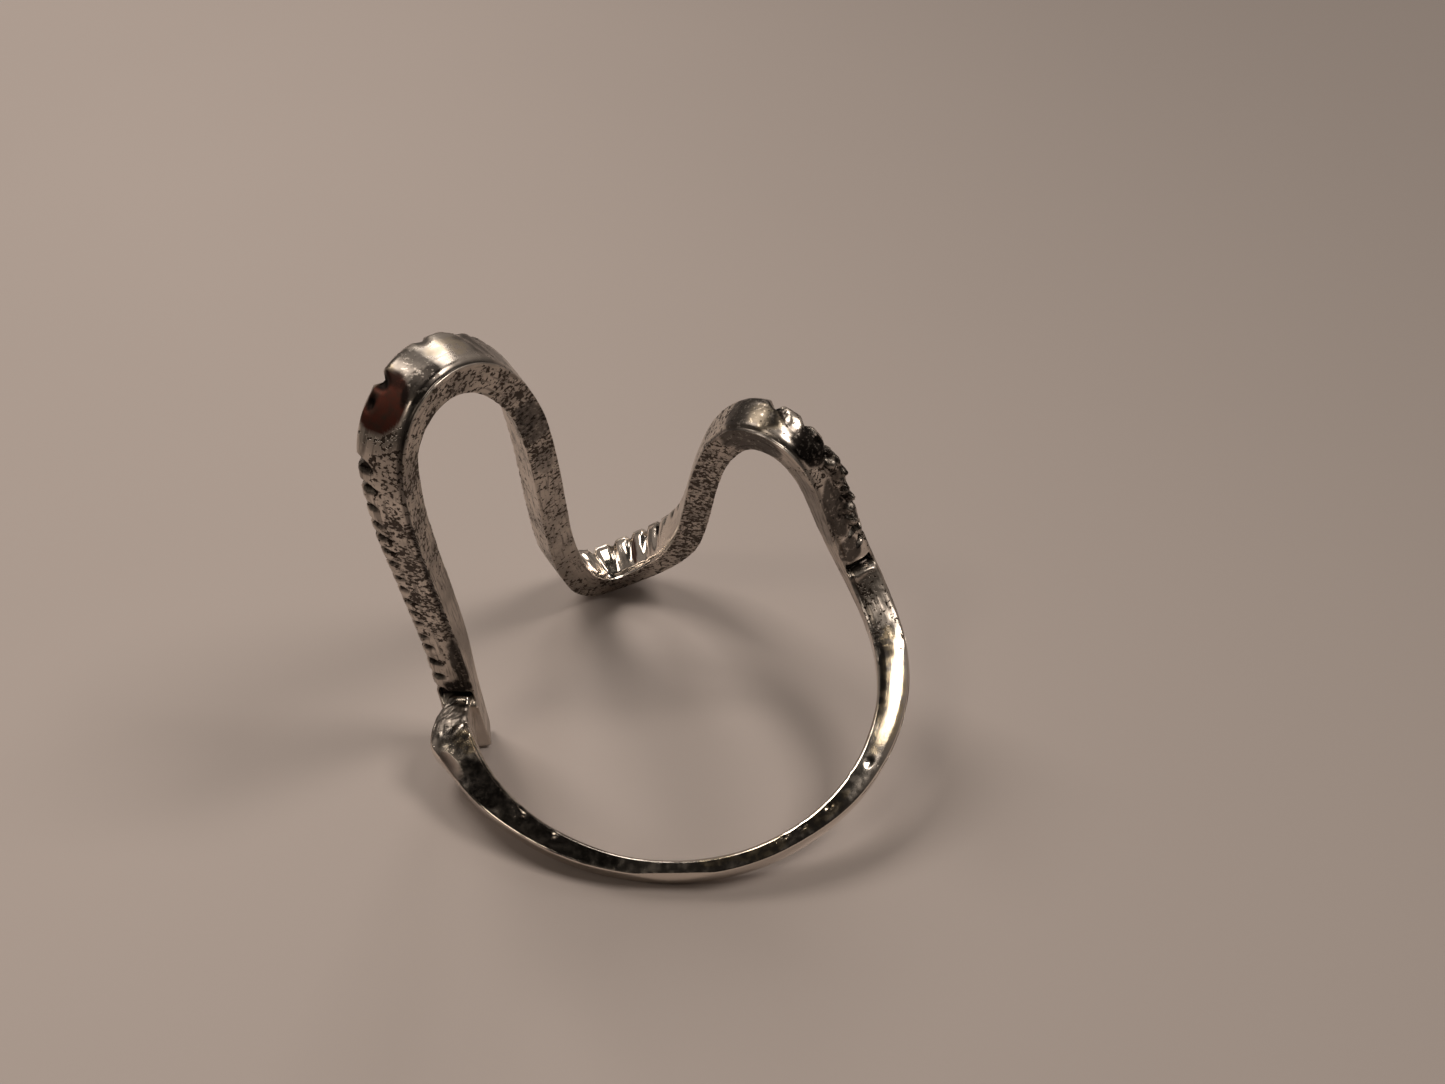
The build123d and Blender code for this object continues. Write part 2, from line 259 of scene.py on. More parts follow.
# Patches: how ragged their rims are and how soft, and how far the copper and the black ones cover the pits
RAGGED = 0.22
COPPER_RAGGED = 0.05
PATCH_RIM = 0.16
COPPER_COVERS = 0.9
BLACK_COVERS = 0.5

# The tall leg's outer edge is rubbed, by its start and blend, up to a course. The shank's polish ends at one.
RUBBED_PART = (0.55, 0.35)
RUBBED_LESS = 0.45
RUBBED_END = 0.26
POLISH_END = 1.94

# The bar passes into the shank from this course on, over this much of it
SHANK_START = 0.985
SHANK_BLEND = 0.12

# Radii of the long corners, and the most that an outer one takes of the width or depth
OUTER_CORNER = 0.2 * MM
RUBBED_CORNER_MORE = 0.22 * MM
SHANK_CORNER_LESS = 0.11 * MM
LARGEST_CORNER_SHARE = 0.46
INNER_CORNER = 0.05 * MM
SHANK_INNER_CORNER_MORE = 0.14 * MM
SHANK_CROWN_LESS = 0.6

# Hand work: how far a notch strays by shares of the pitch, and the least and most shares of its sizes
NOTCH_SEED = 7
NOTCH_STRAY = (-0.12, 0.12)
DEPTH_SHARES = (0.6, 1.25)
MOUTH_SHARES = (0.75, 1.1)
GOUGE_SHARES = (0.7, 1.2)
FLUTE_SHARES = (0.6, 1.2)
SLANT_SHARES = (0.6, 1.4)

# A gouge is an oval below the outer edge. Its half width and a flute's are shares of the notch's mouth.
GOUGE_MIDDLE = 0.28 * MM
GOUGE_HALF_HEIGHT = 0.56 * MM
GOUGE_HALF_WIDTH_SHARE = 0.56
FLUTE_HALF_WIDTH_SHARE = 0.65
NOTCH_REACH = 0.7 * MM
NOTCH_ON_FRONT_LESS = 0.4

# Oxide in the notches: the depth of a gouge that is wholly dark, the outer face's share, the least cut that
# holds it, and the polish above which flutes are cleaner
DARK_GOUGE = 0.12 * MM
OUTER_OXIDE = 0.7
OXIDE_CUT_SHARE = 0.4
CLEAN_FLUTE_POLISH = 0.92
CLEAN_FLUTE_LESS = 0.75

# Grooves across the front face at the two joints, as shares of the bar's path: which side the raised lip is
# on, and how high it stands. The fades are from the inner and the outer edge, by start and blend.
GrooveLip = namedtuple("GrooveLip", "groove side height")
GROOVE_LIPS = (GrooveLip(0.045, -1, 0.27 * MM), GrooveLip(0.98, 1, 0.05 * MM))
GROOVE_INNER_FADE = (0.06 * MM, 0.15 * MM)
GROOVE_OUTER_FADE = (0.05 * MM, 0.2 * MM)
GROOVE_SLANT = 0.12
LIP_GAP = 0.12 * MM
LIP_REACH = 0.24 * MM
LIP_WAVE_HEIGHT = 0.07 * MM
LIP_WAVE_LENGTH = 0.21 * MM

# Forms of the crests, as the course of the middle and how far they reach
Form = namedtuple("Form", "course reach")
TALL_CREST = Form(0.298, 0.075)
LOW_CREST = Form(0.884, 0.04)
CREST_CREASE = Form(0.2935, 0.0115)
CREST_BULGE = 0.17 * MM
CREST_FALL = 0.24 * MM
FALLING_PART = (0.45, 0.6)
CREASE_DEPTH = 0.11 * MM
SEAM_DEPTH = 0.12 * MM
SEAM_HEIGHT = 0.17 * MM
SEAM_REACH = 0.19 * MM

# Lumps below the low crest
LUMP_SEED = 11
LUMP_COUNT = 30
LUMP_COURSES = (0.898, 0.958)
LUMP_HEIGHTS = (0.66, 1.0)
LUMP_RADII = (0.19, 0.38)
LUMP_RISE_SHARE = 0.48
LUMP_RIM = 1.05
LUMP_RIM_REACH = 0.3
LUMP_OXIDE = 0.85

# The neck: where it starts and its folds end, its lip, and the crumpled place on the flare
NECK_START = 1.925
NECK_BLEND = 0.03
NECK_TAPER = 0.18
FOLDS_END = 1.982
FOLDS_FADE = 0.008
NECK_LIP = Form(1.989, 0.011)
NECK_LIP_HEIGHT = 0.13 * MM
NECK_FLARE = Form(1.915, 0.03)
FLARE_CRUMPLE_HEIGHT = 0.035 * MM
FOLD_HEIGHT = 0.06 * MM
FOLD_LENGTH = 0.1 * MM
FINE_FOLD_LENGTH = 0.047 * MM
FOLD_SLANT = 0.9
FOLD_CLIMB = 0.7
FOLD_WANDER_LENGTH = 0.22 * MM
FOLD_OXIDE = 0.75


class SectionCurve:
    """Smooth course of the seat, width and depth through the sections, by the length between seats."""

    def __init__(self, size, rows):
        table = []
        for row in rows:
            angle = radians(row.angle)
            oval = 1 + size.hole_ovality * cos(2 * (angle - size.hole_turn))
            radius = size.hole_diameter / 2 * oval - row.inset
            table.append((radius * cos(angle), radius * sin(angle), row.level, row.width, row.depth))
        self.table = np.array(table)
        steps = np.linalg.norm(np.diff(self.table[:, :3], axis=0), axis=1)
        self.knots = np.concatenate(([0.0], np.cumsum(steps)))
        self.bends = self.find_bends()

    def find_bends(self):
        """Second slopes of the natural cubic through the table."""
        gaps = np.diff(self.knots)
        count = len(self.knots)
        matrix = np.eye(count)
        right = np.zeros_like(self.table)
        for index in range(1, count - 1):
            before, after = gaps[index - 1], gaps[index]
            matrix[index, index - 1 : index + 2] = (before, 2 * (before + after), after)
            rise = (self.table[index + 1] - self.table[index]) / after
            right[index] = 6 * (rise - (self.table[index] - self.table[index - 1]) / before)
        return np.linalg.solve(matrix, right)

    def at(self, places):
        """Values and slopes of the table's columns at places along the knots."""
        index = np.clip(np.searchsorted(self.knots, places, side="right") - 1, 0, len(self.knots) - 2)
        gap = (self.knots[index + 1] - self.knots[index])[:, None]
        late = (places[:, None] - self.knots[index][:, None]) / gap
        early = 1 - late
        low, high = self.table[index], self.table[index + 1]
        low_bend, high_bend = self.bends[index], self.bends[index + 1]
        value = early * low + late * high
        value += ((early**3 - early) * low_bend + (late**3 - late) * high_bend) * gap**2 / 6
        slope = (high - low) / gap
        slope += ((3 * late**2 - 1) * high_bend - (3 * early**2 - 1) * low_bend) * gap / 6
        return value, slope


def smooth_step(value):
    """0 below 0, 1 above 1 and a soft rise between."""
    part = np.clip(value, 0.0, 1.0)
    return part * part * (3 - 2 * part)


def risen(value, start, blend):
    """0 up to the start, 1 from a blend above it and a soft rise between."""
    return smooth_step((value - start) / blend)


def hump(distance, reach):
    """1 at no distance, falling softly to 0 at the reach."""
    return smooth_step(1 - np.abs(distance) / reach)


# Points round a section, on each of its stretches, and how near two places are one
INNER_POINTS = 12
BACK_POINTS = 11
OUTER_POINTS = 11
FRONT_POINTS = 21
INNER_CORNER_POINTS = 3
OUTER_CORNER_POINTS = 6
SAME_PLACE = 1e-9


def section_outline(half, depth, outer_round, inner_round, crown):
    """Points and normals round every section, as arrays of a row per section and a column per point."""
    shoulder = depth - crown
    ones = np.ones_like(half)
    places, normals = [], []

    def straight(start, end, count, normal):
        for number in range(count):
            share = (number + 0.5) / count
            places.append((start[0] + (end[0] - start[0]) * share, start[1] + (end[1] - start[1]) * share))
            normals.append((normal[0] * ones, normal[1] * ones))

    def corner(middle_x, middle_y, radius, first, count):
        for number in range(count):
            angle = first + pi / 2 * number / (count - 1)
            places.append((middle_x + radius * cos(angle), middle_y + radius * sin(angle)))
            normals.append((cos(angle) * ones, sin(angle) * ones))

    inner_half = half - inner_round
    outer_half = half - outer_round
    zero = 0 * half
    straight((-inner_half, zero), (inner_half, zero), INNER_POINTS, (0, -1))
    corner(inner_half, inner_round, inner_round, -pi / 2, INNER_CORNER_POINTS)
    straight((half, inner_round), (half, shoulder - outer_round), BACK_POINTS, (1, 0))
    corner(outer_half, shoulder - outer_round, outer_round, 0, OUTER_CORNER_POINTS)
    straight((outer_half, shoulder), (-outer_half, shoulder), OUTER_POINTS, (0, 1))
    corner(-outer_half, shoulder - outer_round, outer_round, pi / 2, OUTER_CORNER_POINTS)
    straight((-half, shoulder - outer_round), (-half, inner_round), FRONT_POINTS, (-1, 0))
    corner(-inner_half, inner_round, inner_round, pi, INNER_CORNER_POINTS)
    x, y = (np.array(part).T for part in zip(*places))
    normal_x, normal_y = (np.array(part).T for part in zip(*normals))
    on_outer = np.abs(y - shoulder[:, None]) < SAME_PLACE
    y = y + on_outer * crown[:, None] * (1 - (x / half[:, None]) ** 2)
    return x, y, normal_x, normal_y


def half_round(outline, half, depth, roundness):
    """The outline with its back, outer and front stretches drawn towards a half-round of the same size."""
    x, y, normal_x, normal_y = outline
    first = INNER_POINTS + INNER_CORNER_POINTS
    count = BACK_POINTS + OUTER_POINTS + FRONT_POINTS + 2 * OUTER_CORNER_POINTS
    angle = pi * (np.arange(count) + 0.5) / count
    across, rise = np.cos(angle), np.sin(angle)
    round_x = half[:, None] * np.sign(across) * np.abs(across) ** (2 / ROUND_POWER)
    round_y = depth[:, None] * rise ** (2 / ROUND_POWER)
    slope_x = np.sign(across) * np.abs(across) ** (2 - 2 / ROUND_POWER) / half[:, None]
    slope_y = rise ** (2 - 2 / ROUND_POWER) / depth[:, None]
    steep = np.hypot(slope_x, slope_y)
    share = roundness[:, None]
    columns = slice(first, first + count)
    x[:, columns] += (round_x - x[:, columns]) * share
    y[:, columns] += (round_y - y[:, columns]) * share
    normal_x[:, columns] += (slope_x / steep - normal_x[:, columns]) * share
    normal_y[:, columns] += (slope_y / steep - normal_y[:, columns]) * share
    return x, y, normal_x, normal_y


def length_prop(name, description, millimetres):
    """A length, given in millimetres and kept in metres."""
    return bpy.props.FloatProperty(
        name=name, description=description, default=millimetres * MM, unit="LENGTH", precision=5
    )


def colour_prop(name, description, default):
    """A colour that the panel shows as a swatch."""
    return bpy.props.FloatVectorProperty(
        name=name, description=description, default=default, subtype="COLOR", size=3
    )


class RingSizes(bpy.types.PropertyGroup):
    """Driving sizes of the ring."""

    hole_diameter: length_prop("Hole diameter", "Mean inner diameter", 18.0)
    hole_ovality: bpy.props.FloatProperty(
        name="Hole ovality", description="How much the hole's long way exceeds its mean", default=0.047
    )
    hole_turn: bpy.props.FloatProperty(
        name="Oval turn", description="Turn of the hole's long way", default=radians(-13.5), subtype="ANGLE"
    )
    tall_rise: length_prop("Tall rise", "Height of the tall crest", 17.4)
    low_rise: length_prop("Low rise", "Height of the low crest", 8.15)
    valley_drop: length_prop("Valley drop", "Depth of the valley", 8.1)
    foot_drop: length_prop("Foot drop", "Depth of the bar's foot", 3.5)
    bar_width: length_prop("Bar width", "Thickness across the bar", 1.35)
    bar_depth: length_prop("Bar depth", "Thickness of the bar outward", 2.1)
    shank_width: length_prop("Shank width", "Shank along the finger", 1.3)
    shank_depth: length_prop("Shank depth", "Shank outward", 0.85)
    notch_pitch: length_prop("Notch pitch", "Step between notches", 1.02)
    notch_depth: length_prop("Notch depth", "Depth of a notch", 0.34)
    notch_mouth: length_prop("Notch mouth", "Width of a notch", 0.5)
    gouge_depth: length_prop("Gouge depth", "Depth of a notch's gouge", 0.26)
    flute_depth: length_prop("Flute depth", "Depth of the flutes", 0.24)
    crown_rise: length_prop("Crown", "Rise of the outer face", 0.1)
    groove_depth: length_prop("Groove depth", "Depth of the joint grooves", 0.42)
    groove_mouth: length_prop("Groove mouth", "Width of the joint grooves", 0.7)


class SilverColours(bpy.types.PropertyGroup):
    """Colours of the worn silver."""

    bright: colour_prop("Bright metal", "Rubbed silver", (0.8, 0.725, 0.65))
    film: colour_prop("Grey film", "Thin tarnish", (0.45, 0.385, 0.33))
    oxide: colour_prop("Oxide", "Dark oxide in hollows", (0.012, 0.009, 0.008))
    brown_oxide: colour_prop("Brown oxide", "Thin oxide in the pits", (0.05, 0.037, 0.029))
    copper: colour_prop("Copper stain", "Red-brown stain", (0.087, 0.028, 0.02))
    straw: colour_prop("Straw tarnish", "Pale gold tarnish", (0.8, 0.66, 0.44))


class StageSettings(bpy.types.PropertyGroup):
    """Floor and lens."""

    floor_colour: colour_prop("Floor", "Colour of the floor", (0.505, 0.445, 0.42))
    focal_length: bpy.props.FloatProperty(
        name="Focal length", description="Lens on a 36 mm frame, in millimetres", default=47.34
    )


# Places at which the curve's length is measured
MEASURING_PLACES = 6000


def path_stations(curve, bar_end):
    """Places along the curve at the steps of the table, with their lengths and courses."""
    dense = np.linspace(0, curve.knots[-1], MEASURING_PLACES)
    seats = curve.at(dense)[0][:, :3]
    lengths = np.concatenate(([0.0], np.cumsum(np.linalg.norm(np.diff(seats, axis=0), axis=1))))
    bar_length = np.interp(bar_end, dense, lengths)
    shank_share = (lengths - bar_length) / (lengths[-1] - bar_length)
    course = np.where(lengths > bar_length, 1 + shank_share, lengths / bar_length)
    steps = np.interp(course, *zip(*STATION_STEPS)) * MM
    count = np.concatenate(([0.0], np.cumsum(np.diff(lengths) / steps[1:])))
    numbers = np.linspace(0, count[-1], int(count[-1]))
    return tuple(np.interp(numbers, count, values) for values in (dense, lengths, course))


Notch = namedtuple("Notch", "place depth mouth gouge flute slant")


def hand_notches(size, bar_length, draws):
    """Gives every notch, with the unevenness of hand work."""
    for run in NOTCH_RUNS:
        span = (run.end - run.start) * bar_length
        count = round(span / size.notch_pitch)
        for number in range(count + 1):
            place = run.start * bar_length + span * number / max(count, 1)
            yield Notch(
                place + draws.uniform(*NOTCH_STRAY) * size.notch_pitch,
                size.notch_depth * run.depth_share * draws.uniform(*DEPTH_SHARES),
                size.notch_mouth * draws.uniform(*MOUTH_SHARES),
                size.gouge_depth * run.gouge_share * draws.uniform(*GOUGE_SHARES),
                size.flute_depth * run.flute_share * draws.uniform(*FLUTE_SHARES),
                run.slant * draws.uniform(*SLANT_SHARES),
            )


class RingSkin:
    """The ring's skin as a grid of points: a row for each section and a column for each point round it."""

    def __init__(self, size):
        self.size = size
        bar_sections = sections(BAR_ROWS, size, size.bar_width, size.bar_depth)
        shank_sections = sections(SHANK_ROWS, size, size.shank_width, size.shank_depth)
        curve = SectionCurve(size, bar_sections + shank_sections)
        bar_end = curve.knots[len(bar_sections) - 1]
        places, lengths, course = path_stations(curve, bar_end)
        self.bar_length = np.interp(1.0, course, lengths)
        value, slope = curve.at(places)
        self.seats = value[:, :3]
        self.width, self.depth = value[:, 3:4], value[:, 4:5]
        along = slope[:, :3] / np.linalg.norm(slope[:, :3], axis=1)[:, None]
        side = np.cross(self.seats * (1, 1, 0), along)
        self.side = side / np.linalg.norm(side, axis=1)[:, None]
        self.out = np.cross(along, self.side)
        self.course = course[:, None]
        self.length_of = lambda place: np.interp(place, course, lengths)

        shank = risen(course, SHANK_START, SHANK_BLEND)
        polish = np.interp(course, *zip(*FRONT_POLISH))
        outer_round = OUTER_CORNER + RUBBED_CORNER_MORE * polish * (1 - shank) - SHANK_CORNER_LESS * shank
        outer_round = np.minimum(outer_round, LARGEST_CORNER_SHARE * np.minimum(value[:, 3], value[:, 4]))
        inner_round = INNER_CORNER + SHANK_INNER_CORNER_MORE * shank
        crown = size.crown_rise * (1 - SHANK_CROWN_LESS * shank)
        outline = section_outline(value[:, 3] / 2, value[:, 4], outer_round, inner_round, crown)
        swell = np.interp(course, *zip(*SWELL)) * MM
        roundness = np.interp(course, *zip(*ROUNDNESS))
        outline = half_round(outline, value[:, 3] / 2, value[:, 4] + swell, roundness)
        self.x, self.y, self.normal_x, self.normal_y = outline
        lean = np.interp(course, *zip(*LEAN))[:, None] * (self.normal_x < 0)
        self.x += lean * np.maximum(self.y - LEAN_START, 0)
        self.run = lengths[:, None] + 0 * self.x
        self.lay = np.stack((self.run, self.x, self.y), axis=2)
        self.front = risen(-self.normal_x, *LOOKS_FORWARD)
        self.inner = risen(-self.normal_y, *LOOKS_INWARD)
        self.tall = self.y / self.depth
        self.on_bar = 1 - shank[:, None]
        self.masks = {name: np.zeros_like(self.x) for name in ("hollow", "copper", "straw", "tarnish_and_dark_reflection", "seam")}
        self.rough = self.points()

    def points(self):
        """The grid's points in the ring's own frame."""
        level = self.seats[:, None, :] + self.side[:, None, :] * self.x[:, :, None]
        return level + self.out[:, None, :] * self.y[:, :, None]

    def noise(self, grain):
        """Smooth noise between about -1 and 1 at every uncut point."""
        shift = Vector([grain.seed * step for step in SEED_STEP])
        scale = 1 / (grain.size * MM)
        values = [noise.noise(Vector(point) * scale + shift) for point in self.rough.reshape(-1, 3)]
        return np.array(values).reshape(self.x.shape)

    def along_table(self, table):
        """A table's value at every section."""
        return np.interp(self.course, *zip(*table))

    def around(self, form):
        """1 at the form's course, falling to 0 at its reach."""
        return hump(self.course - form.course, form.reach)

    def darken(self, shade):
        """Adds to the darkened hollows: oxide, and painted shade in the joint grooves."""
        self.masks["hollow"] = np.maximum(self.masks["hollow"], shade)

    def cut_notches(self):
        """Notches in the outer edge, with their gouges and flutes on the front face."""
        size = self.size
        cut, gouge, flute, hollow = (np.zeros_like(self.x) for _ in range(4))
        below = np.maximum(self.depth - self.y, 0)
        near_outer = hump(below, NOTCH_REACH)
        for notch in hand_notches(size, self.bar_length, random.Random(NOTCH_SEED)):
            off = np.abs(self.run - notch.place)
            cut = np.maximum(cut, notch.depth * np.clip(1 - off / (notch.mouth / 2), 0, 1))
            off = np.abs(self.run - notch.place - notch.slant * below)
            half_height = GOUGE_HALF_HEIGHT * notch.depth / size.notch_depth
            oval = (off / (notch.mouth * GOUGE_HALF_WIDTH_SHARE)) ** 2
            oval += ((below - GOUGE_MIDDLE) / half_height) ** 2
            gouge = np.maximum(gouge, notch.gouge * smooth_step(1.1 - oval))
            dark = min(1, notch.gouge / DARK_GOUGE)
            hollow = np.maximum(hollow, smooth_step((0.8 - oval) / 0.4) * dark)
            ridge = hump(off, notch.mouth * FLUTE_HALF_WIDTH_SHARE)
            flute = np.maximum(flute, notch.flute * ridge * smooth_step(self.tall * 1.6 - 0.15))
        self.y -= cut * near_outer * (1 - NOTCH_ON_FRONT_LESS * self.front)
        self.x += np.maximum(gouge, flute) * self.front
        cut_edges = (self.normal_y > 0.3) * (cut > OXIDE_CUT_SHARE * size.notch_depth)
        edges = np.maximum(self.front, OUTER_OXIDE * cut_edges)
        clean_flutes = 1 - CLEAN_FLUTE_LESS * (self.along_table(FRONT_POLISH) > CLEAN_FLUTE_POLISH)
        self.darken(hollow * edges * clean_flutes)

    def cut_joint_grooves(self):
        """Grooves across the front face at the joints, each with a raised lip beside it and painted shade in
        it.
        """
        half_mouth = self.size.groove_mouth / 2
        reach = risen(self.y, *GROOVE_INNER_FADE) * risen(self.depth - self.y, *GROOVE_OUTER_FADE)
        for lip in GROOVE_LIPS:
            off = self.run - lip.groove * self.bar_length - GROOVE_SLANT * (self.y - self.depth / 2)
            groove = np.clip(1 - np.abs(off) / half_mouth, 0, 1) * reach * self.front
            self.x += self.size.groove_depth * groove
            lip_place = lip.side * (half_mouth + LIP_GAP) + LIP_WAVE_HEIGHT * np.sin(self.y / LIP_WAVE_LENGTH)
            self.x -= lip.height * hump(off - lip_place, LIP_REACH) * self.front
            # Painted shade: the groove is coloured dark towards the oxide colour
            self.darken(smooth_step(groove * 1.6))

    def round_crests(self):
        """The crests bulge and fall off outward, the valley swells, and a seam sinks along the inner edge."""
        polish = self.along_table(FRONT_POLISH) * self.on_bar * (self.course > 0.2)
        crest = self.around(TALL_CREST) + self.around(LOW_CREST)
        seam = self.along_table(SEAM)
        falling = risen(self.tall, *FALLING_PART)
        self.x += CREST_FALL * polish * falling * self.front
        self.x -= CREST_BULGE * crest * self.front
        crease = self.around(CREST_CREASE) * smooth_step(self.tall * 2 - 0.3)
        self.x += CREASE_DEPTH * crease * self.front
        swell = self.along_table(SWELL) * MM * self.on_bar
        forward = np.maximum(self.front, smooth_step(0.5 - self.x / self.width))
        self.y += swell * smooth_step(self.tall) * forward
        low = hump(self.y - SEAM_HEIGHT, SEAM_REACH)
        self.x += SEAM_DEPTH * seam * low * self.front
        self.masks["seam"] = seam * smooth_step(low * 2.0 - 0.2) * self.front

    def press_dents(self):
        """Small dents, burrs and the lumps of the right leg."""
        for dent in map(Dent._make, DENTS):
            off = self.run - self.length_of(dent.course)
            up = self.y - dent.tall * self.depth
            near = hump(np.hypot(off, up), dent.reach * MM)
            self.x += dent.depth * MM * near * self.front
            if dent.depth > OXIDE_DEPTH:
                self.darken(smooth_step(near * 2.2) * self.front)
        draws = random.Random(LUMP_SEED)
        for _ in range(LUMP_COUNT):
            place = draws.uniform(*LUMP_COURSES) * self.bar_length
            up = draws.uniform(*LUMP_HEIGHTS)
            reach = draws.uniform(*LUMP_RADII) * MM
            away = np.hypot(self.run - place, self.y - up * self.depth) / reach
            dome = np.sqrt(np.clip(1 - away**2, 0, 1))
            self.x -= LUMP_RISE_SHARE * reach * dome * self.front
            self.darken(LUMP_OXIDE * hump(away - LUMP_RIM, LUMP_RIM_REACH) * self.front)

    def twist_neck(self):
        """The neck narrows between the bar and the shank's flared end, with uneven folds below a lip."""
        neck = risen(self.course, NECK_START, NECK_BLEND)
        self.y *= 1 - NECK_TAPER * neck * smooth_step(self.tall * 1.5)
        uneven = self.noise(FOLD_WANDER)
        slanted = self.run + FOLD_SLANT * self.x + FOLD_CLIMB * self.y + FOLD_WANDER_LENGTH * uneven
        fold = np.sin(slanted / FOLD_LENGTH) * (0.6 + 0.8 * uneven)
        fold += 0.3 * np.sin(slanted / FINE_FOLD_LENGTH + 1.3)
        top = np.maximum(self.front, 0.7 * (self.normal_y > 0))
        folded = neck * top * smooth_step((FOLDS_END - self.course) / FOLDS_FADE)
        self.x += FOLD_HEIGHT * fold * folded
        self.x -= NECK_LIP_HEIGHT * self.around(NECK_LIP) * self.front
        self.darken(FOLD_OXIDE * folded * smooth_step(fold * 1.4 - 0.2))
        crumpled = self.around(NECK_FLARE) * smooth_step(1.3 - 1.6 * self.tall) * self.front
        self.x -= FLARE_CRUMPLE_HEIGHT * self.noise(NECK_CRUMPLE) * crumpled

    def roughen(self):
        """Cast unevenness, never proud of the drawn faces by more than a hair."""
        wobble, ripple = self.noise(WOBBLE), self.noise(RIPPLE)
        crumple, grain = self.noise(CRUMPLE), self.noise(CAST_GRAIN)
        pitting = self.masks["pitting"]
        lift = WOBBLE_HEIGHT * (wobble - 0.5) + RIPPLE_HEIGHT * ripple
        lift += (CRUMPLE_HEIGHT * crumple + CAST_GRAIN_HEIGHT * grain) * pitting
        self.x += self.normal_x * lift
        self.y += self.normal_y * lift

    def paint(self):
        """Masks of the pitted, rubbed, stained and darkened places, some black patches being painted dark
        reflection.
        """
        shore = self.noise(STAIN_SHORE)
        across_inner = self.x / self.width + 0.5
        faces = (
            (FRONT_PATCHES, self.front, self.tall, self.depth),
            (INNER_PATCHES, self.inner, across_inner, self.width),
        )
        for patches, face, place, girth in faces:
            for name in patches:
                ragged = COPPER_RAGGED if name == "copper" else RAGGED
                for patch in map(Patch._make, patches[name]):
                    off = (self.run - self.length_of(patch.course)) / (patch.along * MM)
                    up = (place - patch.tall) * girth / (patch.across * MM)
                    away = np.hypot(off, up) + ragged * shore
                    near = smooth_step((1.0 - away) / PATCH_RIM) * face * patch.strength
                    self.masks[name] = np.maximum(self.masks[name], near)
        front, inner = self.front, self.inner * (1 - self.front)
        other = np.clip(1 - front - inner, 0, 1)
        rubbed_edge = 1 - RUBBED_LESS * risen(self.tall, *RUBBED_PART) * (self.course < RUBBED_END)
        pitting = front * rubbed_edge * self.along_table(FRONT_PITTING)
        pitting = pitting + inner * self.along_table(INNER_PITTING)
        pitting = pitting + other * self.along_table(OTHER_PITTING)
        pitting = pitting * (1 - COPPER_COVERS * self.masks["copper"])
        self.masks["pitting"] = pitting * (1 - BLACK_COVERS * self.masks["tarnish_and_dark_reflection"])
        polish = front * self.along_table(FRONT_POLISH)
        self.masks["polish"] = np.maximum(polish, (1 - self.on_bar) * (self.course < POLISH_END))
        self.masks["inner"] = inner

    def shape(self):
        """All steps, ending with the points in the scene's place."""
        self.paint()
        self.round_crests()
        self.cut_notches()
        self.cut_joint_grooves()
        self.press_dents()
        self.twist_neck()
        self.roughen()
        world = np.array(hole_middle) + self.points() @ np.array((ring_right, ring_back, finger_axis))
        return np.clip(world, *map(np.array, cad_box))


def add_object(name, data):
    """A new object in the scene."""
    thing = bpy.data.objects.new(name, data)
    bpy.context.scene.collection.objects.link(thing)
    return thing


def add_shape(name, shape):
    """A new object from a shape, which is used up."""
    mesh = bpy.data.meshes.new(name)
    shape.to_mesh(mesh)
    shape.free()
    return add_object(name, mesh)


def is_new_edge(item, fresh):
    """Whether an extrusion's item is an edge between two new points."""
    return isinstance(item, bmesh.types.BMEdge) and item.verts[0] in fresh and item.verts[1] in fresh


def grow_skin(name, world, masks, lay):
    """A closed tube grown section by section from its first loop, with masks and lay as attributes."""
    shape = bmesh.new()
    around = shape.verts.layers.int.new("around")
    station = shape.verts.layers.int.new("station")
    loop_verts = []
    for number, place in enumerate(world[0]):
        vert = shape.verts.new(place)
        vert[around] = number
        loop_verts.append(vert)
    first_loop = [shape.edges.new(pair) for pair in zip(loop_verts[-1:] + loop_verts, loop_verts)]
    loop = first_loop
    for row in range(1, world.shape[0]):
        grown = bmesh.ops.extrude_edge_only(shape, edges=loop)["geom"]
        fresh = {item for item in grown if isinstance(item, bmesh.types.BMVert)}
        for vert in fresh:
            vert.co = world[row, vert[around]]
            vert[station] = row
        loop = [item for item in grown if is_new_edge(item, fresh)]
    for ends in (first_loop, loop):
        bmesh.ops.edgeloop_fill(shape, edges=ends)
    bmesh.ops.recalc_face_normals(shape, faces=shape.faces)
    piece = add_shape(name, shape)
    mesh = piece.data
    spots = []
    for helper in ("station", "around"):
        spots.append(np.zeros(len(mesh.vertices), np.int32))
        mesh.attributes[helper].data.foreach_get("value", spots[-1])
        mesh.attributes.remove(mesh.attributes[helper])
    spots = tuple(spots)
    for mask_name, grid in masks.items():
        layer = mesh.attributes.new(mask_name, "FLOAT", "POINT")
        layer.data.foreach_set("value", grid[spots].astype(np.float32))
    layer = mesh.attributes.new("lay", "FLOAT_VECTOR", "POINT")
    layer.data.foreach_set("vector", lay[spots].astype(np.float32).ravel())
    mesh.polygons.foreach_set("use_smooth", np.ones(len(mesh.polygons), bool))
    return piece


